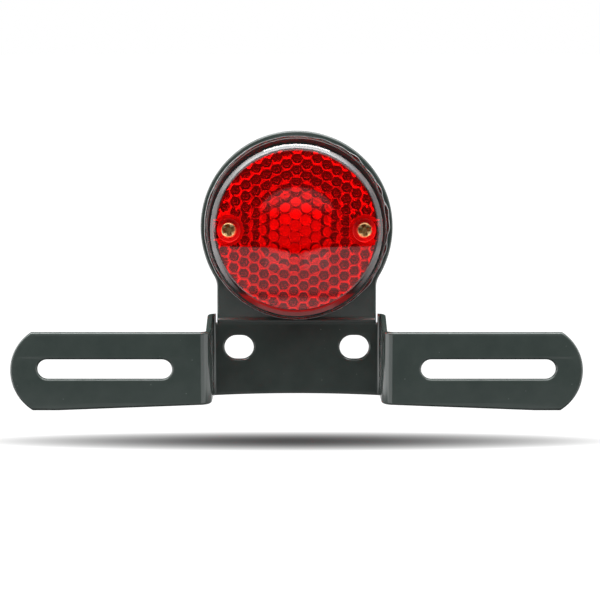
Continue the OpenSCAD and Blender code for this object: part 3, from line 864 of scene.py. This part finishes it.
# Gasket: a rubber ring whose outer edge is squeezed out into an uneven bead round the lens, with a painted
# highlight of lighter grey along the bead's crest
GASKET_BEAD, BEAD_STEPS = 0.28, 10
GASKET_SECTION = ([(GASKET_IN_R, 0.0), (GASKET_R - 0.1, 0.0)]
                  + arc_points(BASE_R + GASKET_BEAD, GASKET_T + 0.1, GASKET_BEAD, -0.9, 2.8, BEAD_STEPS)
                  + [(BASE_R - 0.3, GASKET_T - 0.02), (GASKET_IN_R, GASKET_T - 0.02)])
BEAD_FIRST, BEAD_LAST = 2, 2 + BEAD_STEPS
# Faces of the bead's crest that take the painted highlight of lighter grey
BEAD_HIGHLIGHT_FIRST, BEAD_HIGHLIGHT_LAST = 5, 8

# Waves of the bead: height, number of waves round the ring, phase
GASKET_WAVES = ((0.3, 7, 0.6), (0.4, 16, 0.0), (0.4, 29, 2.0))
WAVE_LEAST, WAVE_MORE, WAVE_RISE, DEEPEST_AT = 0.08, 0.5, 0.1, 0.35
BEAD_OUT, TOP_DRAW = 0.05, 0.75


def gasket_wobble(a, k):
    """Shift of the bead's points: drawn in at the top, slow waves all round, deeper on the lamp's right."""
    if not BEAD_FIRST <= k <= BEAD_LAST:
        return 0, 0
    right = max(0, math.cos(a - DEEPEST_AT)) ** 2
    waves = sum(height * math.sin(count * a + phase) for height, count, phase in GASKET_WAVES)
    drawn_in = TOP_DRAW * max(0, math.sin(a)) ** 3 * (GASKET_SECTION[k][0] - BASE_R)
    return BEAD_OUT - drawn_in + waves * (WAVE_LEAST + WAVE_MORE * right), waves * WAVE_RISE


def gasket():
    verts, faces = revolve(GASKET_SECTION, 360, gasket_wobble)
    obj = add_piece("gasket_ring", verts, faces, "mounting", "black_rubber", "lens_gasket")
    # The bead's crest gets the lighter grey rubber, a painted highlight line round the lens
    obj.data.materials.append(FINISHES["rubber_bead_painted_highlight"])
    for i, face in enumerate(obj.data.polygons):
        face.material_index = 1 if BEAD_HIGHLIGHT_FIRST <= i % len(GASKET_SECTION) <= BEAD_HIGHLIGHT_LAST else 0


# Lens screws: outline of the head, as steps in from its radius and up from its seat
HEAD_OUTLINE = ((0.12, 0.0), (0.0, 0.15), (0.0, 1.35), (0.07, 1.56), (0.22, 1.71), (0.5, 1.80), (1.2, 1.90))

# Cross recess: height over the head's seat, half length and half width of an arm
RECESS_LEVELS = ((0.35, 0.8, 0.5), (0.85, 1.5, 0.66), (HEAD_H + 0.3, 2.2, 0.82))
RECESS_TURN = 0.2
# Faces inside this radius and height band of the recess get the darker brown, a painted shade
RECESS_R, RECESS_LOW, RECESS_HIGH = 2.3, 0.2, 1.78
PITCH, THREAD_DEPTH, PLAIN_SHANK = 0.5, 0.25, 8.0
SCREW_SHARP_DEG = 35


def screw_profile():
    """The screw's tip, thread, plain shank and head, from the tip up."""
    profile = [(ON_AXIS, SCREW_TIP_Z), (SCREW_R - TIP_CHAMFER, SCREW_TIP_Z)]
    z = SCREW_TIP_Z + PITCH
    while z < POCKET_Z - PLAIN_SHANK:
        profile += [(SCREW_R, z), (SCREW_R - THREAD_DEPTH, z + PITCH / 2)]
        z += PITCH
    profile += [(SCREW_R, z), (SCREW_R, HEAD_Z)]
    profile += [(HEAD_R - inset, HEAD_Z + rise) for inset, rise in HEAD_OUTLINE]
    return profile + [(ON_AXIS, HEAD_Z + HEAD_H)]


def recess_arm(side, turn):
    """The space of two opposite arms of the cross recess, which narrow towards its floor."""
    verts = []
    for rise, length, width in RECESS_LEVELS:
        for x, y in ((-length, -width), (length, -width), (length, width), (-length, width)):
            verts.append((side * SCREW_REACH + x * math.cos(turn) - y * math.sin(turn),
                          x * math.sin(turn) + y * math.cos(turn), HEAD_Z + rise))
    faces = [(3, 2, 1, 0), (8, 9, 10, 11)]
    for first in (0, 4):
        for i in range(4):
            n = (i + 1) % 4
            faces.append((first + i, first + n, first + 4 + n, first + 4 + i))
    return make_object("recess", verts, faces, [])


def screw(side, name):
    verts, faces = revolve(screw_profile(), 48, None, (side * SCREW_REACH, 0))
    obj = make_object(name, verts, faces, [FINISHES["yellow_zinc"]], SCREW_SHARP_DEG)
    for turn in (RECESS_TURN, RECESS_TURN + math.pi / 2):
        boolean(obj, recess_arm(side, turn), "DIFFERENCE")
    # Inside the recess the head takes a darker brown, a painted shade
    obj.data.materials.append(FINISHES["yellow_zinc_recess_painted_shade"])
    for face in obj.data.polygons:
        centre = TO_LAMP @ face.center / MM
        from_axis = math.hypot(centre.x - side * SCREW_REACH, centre.y)
        if from_axis < RECESS_R and HEAD_Z + RECESS_LOW < centre.z < HEAD_Z + RECESS_HIGH:
            face.material_index = 1
    obj.data.set_sharp_from_angle(angle=math.radians(SCREW_SHARP_DEG))
    label = "left" if side < 0 else "right"
    dress(obj, "screw_" + label, "yellow_zinc", "lens_screw_" + label)


# Contact spring: a coil with closed ends
SPRING_Z, CARRIER_Z, SPRING_R, SPRING_WIRE = -27.1, -21.5, 5.6, 0.7
SPRING_TURNS, CLOSED_TURNS = 4.5, 0.75


def spring():
    steps, sides = 36, 12
    low, high = SPRING_Z + SPRING_WIRE / 2, CARRIER_Z - SPRING_WIRE / 2
    closed = CLOSED_TURNS / SPRING_TURNS
    count = round(SPRING_TURNS * steps)
    verts, faces = [], []
    for i in range(count + 1):
        share = i / count
        a = 2 * math.pi * SPRING_TURNS * share
        lift = min(1, max(0, (share - closed) / (1 - 2 * closed)))
        for k in range(sides):
            b = 2 * math.pi * k / sides
            r = SPRING_R + SPRING_WIRE / 2 * math.cos(b)
            z = low + (high - low) * lift + SPRING_WIRE / 2 * math.sin(b)
            verts.append((r * math.cos(a), r * math.sin(a), z))
    for i in range(count):
        for k in range(sides):
            n = (k + 1) % sides
            faces.append((i * sides + k, i * sides + n, (i + 1) * sides + n, (i + 1) * sides + k))
    faces += [tuple(range(sides)), tuple(range(count * sides, (count + 1) * sides))]
    obj = add_piece("contact_coil", verts, faces, "mounting", "spring_steel", "contact_spring")
    travel = joints["contact_press"]["range_m"][1] / MM
    length = CARRIER_Z - SPRING_Z
    (length - travel) / length
    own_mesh(obj)


# Pieces behind the disc, and the bulb's contacts
RIVET_R, RIVET_HEAD_R, RIVET_HEAD_H, RIVET_REACH, FLANGE_T = 1.1, 1.7, 0.8, 10.4, 0.8
RIVET_COUNT, RIVET_FIRST = 3, math.radians(30)
BOOT_R, BOOT_BORE_R, BOOT_Z, BOOT_END_Z, BOOT_FLOOR_Z = 10.19, 8.59, -14.6, -30.3, -33.1
NOZZLE_R, NOZZLE_Z, CABLE_R = 4.6, -38.1, 2.6
MOUTH_H, WAIST_IN, WAIST_RAMP, BOOT_ROUND = 2.2, 0.35, 0.4, 0.4
SHOULDER_W, SHOULDER_H, NOZZLE_FLARE = 1.6, 1.3, 0.6
GRIP_RINGS, GRIP_FROM, GRIP_PITCH, GRIP_DEPTH, GRIP_W, GRIP_SIDE = 3, 0.9, 1.3, 0.4, 0.8, 0.2
CONTACT_X, CONTACT_R, CONTACT_H, CONTACT_Z, CONTACT_CLEAR = 3.2, 1.6, 0.6, -18.6, 0.02
QUARTER_TURN = [math.pi / 2 * i / 6 for i in range(7)]


def merge(shapes):
    """Points and faces of several shapes as one."""
    verts, faces = [], []
    for more_verts, more_faces in shapes:
        first = len(verts)
        verts += more_verts
        faces += [tuple(first + i for i in face) for face in more_faces]
    return verts, faces


def boot():
    """Rubber boot with a bead at its mouth, a rounded shoulder and grip rings on its nozzle."""
    mouth_z, waist_r, groove_r = BOOT_Z - MOUTH_H, BOOT_R - WAIST_IN, NOZZLE_R - GRIP_DEPTH
    profile = [(BOOT_BORE_R, BOOT_Z), (BOOT_R, BOOT_Z), (BOOT_R, mouth_z), (waist_r, mouth_z - WAIST_RAMP),
               (waist_r, BOOT_FLOOR_Z + SHOULDER_H), (BOOT_R - SHOULDER_W, BOOT_FLOOR_Z),
               (NOZZLE_R + NOZZLE_FLARE, BOOT_FLOOR_Z), (NOZZLE_R, BOOT_FLOOR_Z - NOZZLE_FLARE)]
    for ring in range(GRIP_RINGS):
        z = BOOT_FLOOR_Z - GRIP_FROM - GRIP_PITCH * ring
        end = z - GRIP_W
        profile += [(NOZZLE_R, z), (groove_r, z - GRIP_SIDE), (groove_r, end + GRIP_SIDE), (NOZZLE_R, end)]
    profile += [(NOZZLE_R, NOZZLE_Z), (CABLE_R, NOZZLE_Z), (CABLE_R, BOOT_END_Z), (BOOT_BORE_R, BOOT_END_Z)]
    verts, faces = revolve(round_corners(profile, BOOT_ROUND, 3), 96)
    add_piece("boot_rubber", verts, faces, "mounting", "black_rubber", "cable_boot")


def nuts():
    """The two nuts, hexagons with chamfered corners and bore."""
    flat, end, bore = NUT_AF / 2, PLATE_BACK - NUT_H, SCREW_R + THREAD_CLEAR
    profile = [(flat, PLATE_BACK), (flat, end), (NUT_FACE * flat, end), (bore + NUT_CHAMFER, end),
               (bore, end + NUT_CHAMFER), (bore, PLATE_BACK)]

    def hexagon(a, k):
        corner = flat / math.cos(a % (math.pi / 3) - math.pi / 6) - flat
        chamfer = NUT_SLOPE * (corner + (1 - NUT_FACE) * flat)
        return (corner, chamfer if k == 1 else 0) if k < 2 else (0, 0)

    verts, faces = merge(revolve(profile, 72, hexagon, (side * SCREW_REACH, 0)) for side in SIDES)
    add_piece("nut_pair", verts, faces, "mounting", "zinc", "lens_nuts")


def rivets():
    """Three rivets with domed heads on both sides of the disc."""
    back = [(max(ON_AXIS, RIVET_HEAD_R * math.sin(t)), PLATE_BACK - RIVET_HEAD_H * math.cos(t))
            for t in QUARTER_TURN]
    front = [(max(ON_AXIS, RIVET_HEAD_R * math.cos(t)), FLANGE_T + RIVET_HEAD_H * math.sin(t))
             for t in QUARTER_TURN]
    profile = back + [(RIVET_R, PLATE_BACK), (RIVET_R, FLANGE_T)] + front
    angles = [RIVET_FIRST + 2 * math.pi * i / RIVET_COUNT for i in range(RIVET_COUNT)]
    spots = [(RIVET_REACH * math.cos(a), RIVET_REACH * math.sin(a)) for a in angles]
    verts, faces = merge(revolve(profile, 40, None, spot) for spot in spots)
    add_piece("rivet_heads", verts, faces, "mounting", "zinc", "socket_rivets")


def bulb_contacts():
    """The bulb's two solder contacts, domed so that they only just reach the socket's contact tips."""
    low, high = CONTACT_Z + CONTACT_CLEAR, CONTACT_Z + CONTACT_H
    profile = [(max(ON_AXIS, CONTACT_R * math.sin(t)), high - (high - low) * math.cos(t))
               for t in QUARTER_TURN]
    profile.append((ON_AXIS, high))
    verts, faces = merge(revolve(profile, 40, None, (side * CONTACT_X, 0)) for side in SIDES)
    add_piece("solder_contacts", verts, faces, "bulb", "solder", "bulb_contacts")


# Floor: its place, its own tone, its level in gloss and glass, the painted oval shadow and the dark room, in
# metres
WHITE = (1, 1, 1, 1)
FLOOR_Z, FLOOR_HALF = -0.030, 3.0
FLOOR_TONE, FLOOR_ROUGHNESS = 0.04, 0.9
FLOOR_IN_GLOSS, FLOOR_IN_GLASS = 0.72, 1.5
SHADE_Y, SHADE_HALF_L, SHADE_HALF_W, SHADE_POWER = -0.0192, 0.115, 0.0140, 1.2
ROOM_EDGE, ROOM_BULGE, ROOM_BULGE_W = (-2.35, -1.90), 1.02, 0.16
OPEN_Y, UNDER_LENS_Y, UNDER_LENS_X = (-0.30, -0.23), (-0.058, -0.046), (0.045, 0.030)

# Cards for the neck of the bracket: their place, and where their lower and upper edges fade, in metres
CARD_Y, CARD_X, CARD_Z = -0.27, (0.010, 0.044), (-0.004, 0.028)
CARD_LOW_FADE, CARD_HIGH_FADE = (-0.002, 0.004), (0.027, 0.022)
NECK_CARD_GLOW = 1.0

# Studio: levels of its fields of light, then the steps that bound them, on the axes of the ray's direction
LEFT_GLOW, RIGHT_GLOW, ARCH_GLOW = 4.0, 2.6, 5.0
FRONT_TOP_GLOW, FRONT_GLOW = 2.3, 0.03
LEFT_LOW_GLOW, RIGHT_LOW_GLOW = 2.0, 1.8
TABLE_GLOW, TABLE_DIM_GLOW = 0.75, 0.14
CROWN_GLOW, PATCH_GLOW = 5.2, 0.42
LEFT_X, RIGHT_X, BACK_Y = (-0.62, -0.95), (0.62, 0.95), (-0.1, 0.3)
BAND_Y, BAND_EDGE, ARCH_STEP = -0.2, (0.34, 0.14), (0.55, 0.85)
CROWN_STEP, CROWN_LEFT, CROWN_RIGHT = (0.30, 0.70), (-0.95, -0.65), (0.75, 0.35)
FRONT_TOP_STEP, BELOW_STEP = (0.36, 0.50), (-0.07, -0.10)
LOW_STEP, LOW_Y, LOW_LEFT, LOW_RIGHT = (-0.5, -0.4), (-0.40, -0.55), (-0.18, -0.30), (0.18, 0.30)
TABLE_TOP, TABLE_END = (-0.225, -0.25), (-0.36, -0.32)
PATCH_HALF_W, PATCH_MIDDLE, PATCH_HALF_H = 0.16, 0.10, 0.115
PATCH_EDGE, PATCH_FADE = (1.05, 0.90), (0.10, 0.17)
LEAST_FORWARD = 0.02

# Softbox over the object, and the camera
SOFTBOX_AT, SOFTBOX_AIM, SOFTBOX_SIZE, SOFTBOX_POWER = (0, 0.06, 0.55), (0, 0, 0.05), (0.45, 0.14), 2.5
CAMERA_AIM, CAMERA_DISTANCE, CAMERA_RISE = (0.0012, -0.017, 0.01975), 0.6465, math.radians(10)
CAMERA_LENS, CAMERA_SENSOR, CAMERA_CLIP = 112.0, 36.0, 0.01


def quad(name, corners):
    """An object of one flat face."""
    mesh = bpy.data.meshes.new(name)
    mesh.from_pydata(corners, [], [(0, 1, 2, 3)])
    return new_object(name, mesh)


def stage():
    """A table that the camera sees as white, with a soft oval shadow painted into its glow and the object's own
    faint shadow.

    Gloss and glass see an even white that ends in a dark room, which bulges towards the object in the middle.
    Close to the object the gloss sees through the table to the world, except below the lens."""
    corners = ((-1, -1), (1, -1), (1, 1), (-1, 1))
    floor = quad("floor", [(x * FLOOR_HALF, y * FLOOR_HALF, FLOOR_Z) for x, y in corners])
    material, tree, shader = new_material("floor_white")
    shader.inputs["Base Color"].default_value = (FLOOR_TONE, FLOOR_TONE, FLOOR_TONE, 1)
    shader.inputs["Roughness"].default_value = FLOOR_ROUGHNESS
    shader.inputs["Specular IOR Level"].default_value = 0.0
    x, y, _ = coordinates(tree, "Object")
    camera_ray, gloss_ray, glass_ray = ray_kinds(tree)
    # Painted shadow: the camera's white glow fades to nothing in an oval under the object
    from_shade = (x / SHADE_HALF_L).squared() + ((y - SHADE_Y) / SHADE_HALF_W).squared()
    lift = (from_shade ** SHADE_POWER).at_most(1.0) * camera_ray
    shader.inputs["Emission Color"].default_value = WHITE
    lift.feed(shader.inputs["Emission Strength"])
    bulge = (-(x / ROOM_BULGE_W).squared()).apply("EXPONENT") * ROOM_BULGE
    lit = (y - bulge).step(*ROOM_EDGE)
    level = gloss_ray * FLOOR_IN_GLOSS + glass_ray * FLOOR_IN_GLASS
    glow = add_node(tree, "ShaderNodeEmission")
    (lit * level).feed(glow.inputs["Strength"])
    under_lens = y.step(*UNDER_LENS_Y) * abs(x).step(*UNDER_LENS_X)
    see_through = (y.step(*OPEN_Y) - under_lens) * gloss_ray
    clear = add_node(tree, "ShaderNodeBsdfTransparent")
    mirrored = blend(tree, see_through, glow.outputs["Emission"], clear.outputs["BSDF"])
    whole = blend(tree, gloss_ray.at_least(glass_ray), shader.outputs["BSDF"], mirrored)
    tree.links.new(whole, tree.nodes["Material Output"].inputs["Surface"])
    floor.data.materials.append(material)


def neck_card(side):
    """A small card beside the lens, which only reflections show: it lights the neck of the bracket."""
    (near, far), (low, high) = CARD_X, CARD_Z
    name = "card_left" if side < 0 else "card_right"
    corners = ((near, low), (far, low), (far, high), (near, high))
    card = quad(name, [(side * x, CARD_Y, z) for x, z in corners])
    material, tree, shader = new_material(name)
    tree.nodes.remove(shader)
    _, _, z = coordinates(tree, "Object")
    _, gloss_ray, glass_ray = ray_kinds(tree)
    mirrored = (gloss_ray - glass_ray).at_least(0)
    seen = mirrored * (z.step(*CARD_LOW_FADE) * z.step(*CARD_HIGH_FADE))
    glow = add_node(tree, "ShaderNodeEmission", Strength=NECK_CARD_GLOW)
    clear = add_node(tree, "ShaderNodeBsdfTransparent")
    whole = blend(tree, seen, clear.outputs["BSDF"], glow.outputs["Emission"])
    tree.links.new(whole, tree.nodes["Material Output"].inputs["Surface"])
    card.data.materials.append(material)


def studio_world():
    """White for the camera. Around the object: bright sides and top, low bands of light, dark back and front.

    The crown, which lights the lens's rim, and the patch, a haze on its front, show only in reflections."""
    world = bpy.data.worlds.new("studio")
    bpy.context.scene.world = world
    world.use_nodes = True
    tree = world.node_tree
    x, y, z = coordinates(tree, "Generated")
    camera_ray, gloss_ray, glass_ray = ray_kinds(tree)
    forward = 1 - y.step(*BACK_Y)
    aside = x / (-y).at_least(LEAST_FORWARD)
    band = abs(y - BAND_Y).step(*BAND_EDGE)
    below = z.step(*BELOW_STEP) * forward
    low = below * z.step(*LOW_STEP) * y.step(*LOW_Y)
    table = z.step(*TABLE_TOP) * z.step(*TABLE_END) * TABLE_GLOW + TABLE_DIM_GLOW
    room = below * table + FRONT_GLOW
    fields = ((z.step(*FRONT_TOP_STEP) * forward, FRONT_TOP_GLOW), (x.step(*LEFT_X), LEFT_GLOW),
              (x.step(*RIGHT_X), RIGHT_GLOW), (band * z.step(*ARCH_STEP), ARCH_GLOW),
              (low * aside.step(*LOW_LEFT), LEFT_LOW_GLOW), (low * aside.step(*LOW_RIGHT), RIGHT_LOW_GLOW))
    for field, glow in fields:
        room = room + field * glow
    crown = band * z.step(*CROWN_STEP) * (x.step(*CROWN_LEFT) * x.step(*CROWN_RIGHT))
    from_patch = (aside / PATCH_HALF_W).squared() + ((z - PATCH_MIDDLE) / PATCH_HALF_H).squared()
    patch = from_patch.step(*PATCH_EDGE) * z.step(*PATCH_FADE)
    mirrored = (gloss_ray - glass_ray).at_least(0)
    for field, glow in ((crown, CROWN_GLOW), (patch, PATCH_GLOW)):
        room = room + mirrored * (field * glow)
    strength = camera_ray.at_least(room * (1 - camera_ray))
    background = tree.nodes["Background"]
    background.inputs["Color"].default_value = WHITE
    strength.feed(background.inputs["Strength"])


def look_at(obj, at, aim):
    obj.location = at
    obj.rotation_euler = (Vector(aim) - Vector(at)).to_track_quat("-Z", "Y").to_euler()


def softbox():
    light = bpy.data.lights.new("overhead", "AREA")
    light.shape = "RECTANGLE"
    light.size, light.size_y = SOFTBOX_SIZE
    light.energy = SOFTBOX_POWER
    look_at(new_object("overhead", light), SOFTBOX_AT, SOFTBOX_AIM)


def camera():
    data = bpy.data.cameras.new("camera")
    data.lens = CAMERA_LENS
    data.sensor_width = CAMERA_SENSOR
    data.clip_start = CAMERA_CLIP
    obj = new_object("camera", data)
    away = Vector((0, -math.cos(CAMERA_RISE), math.sin(CAMERA_RISE)))
    look_at(obj, Vector(CAMERA_AIM) + CAMERA_DISTANCE * away, CAMERA_AIM)
    bpy.context.scene.camera = obj


bracket()
lens()
gasket()
screw(-1, "screw_left_head")
screw(1, "screw_right_head")
spring()
boot()
nuts()
rivets()
bulb_contacts()
stage()
neck_card(-1)
neck_card(1)
studio_world()
softbox()
camera()
bpy.context.scene.view_settings.view_transform = "Standard"
